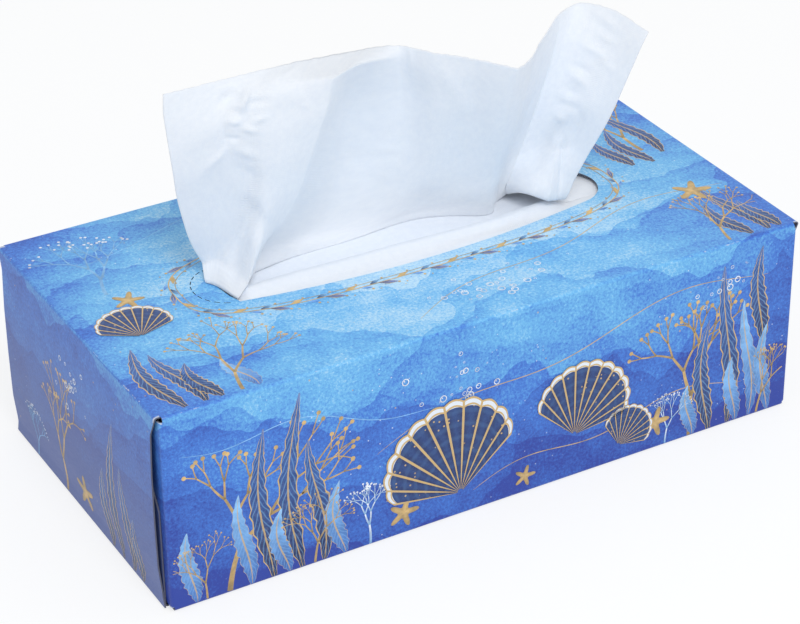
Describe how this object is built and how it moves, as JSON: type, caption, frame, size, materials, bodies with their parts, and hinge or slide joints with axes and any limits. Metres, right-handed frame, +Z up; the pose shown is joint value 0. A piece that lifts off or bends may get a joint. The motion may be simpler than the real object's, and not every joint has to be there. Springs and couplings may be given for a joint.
{
  "type": "tissue box",
  "caption": "Flat oblong board carton with a long bowed slot in its top, a folded tissue standing out of the slot and a block of folded tissues inside.",
  "frame": {"origin": "under the middle of the whole object, on the face it stands on", "axes": "+X along the length of the box, +Y across it towards the back, +Z up"},
  "size_m": [0.2142, 0.11, 0.1266],
  "materials": {
    "printed_board": "satin print",
    "stacked_tissue": "matt",
    "tissue": "matt"
  },
  "bodies": {
    "root": {"carton": "printed_board", "tissue_stack": "stacked_tissue", "next_tissue": "tissue", "pulled_tissue": "tissue"}
  },
  "joints": []
}
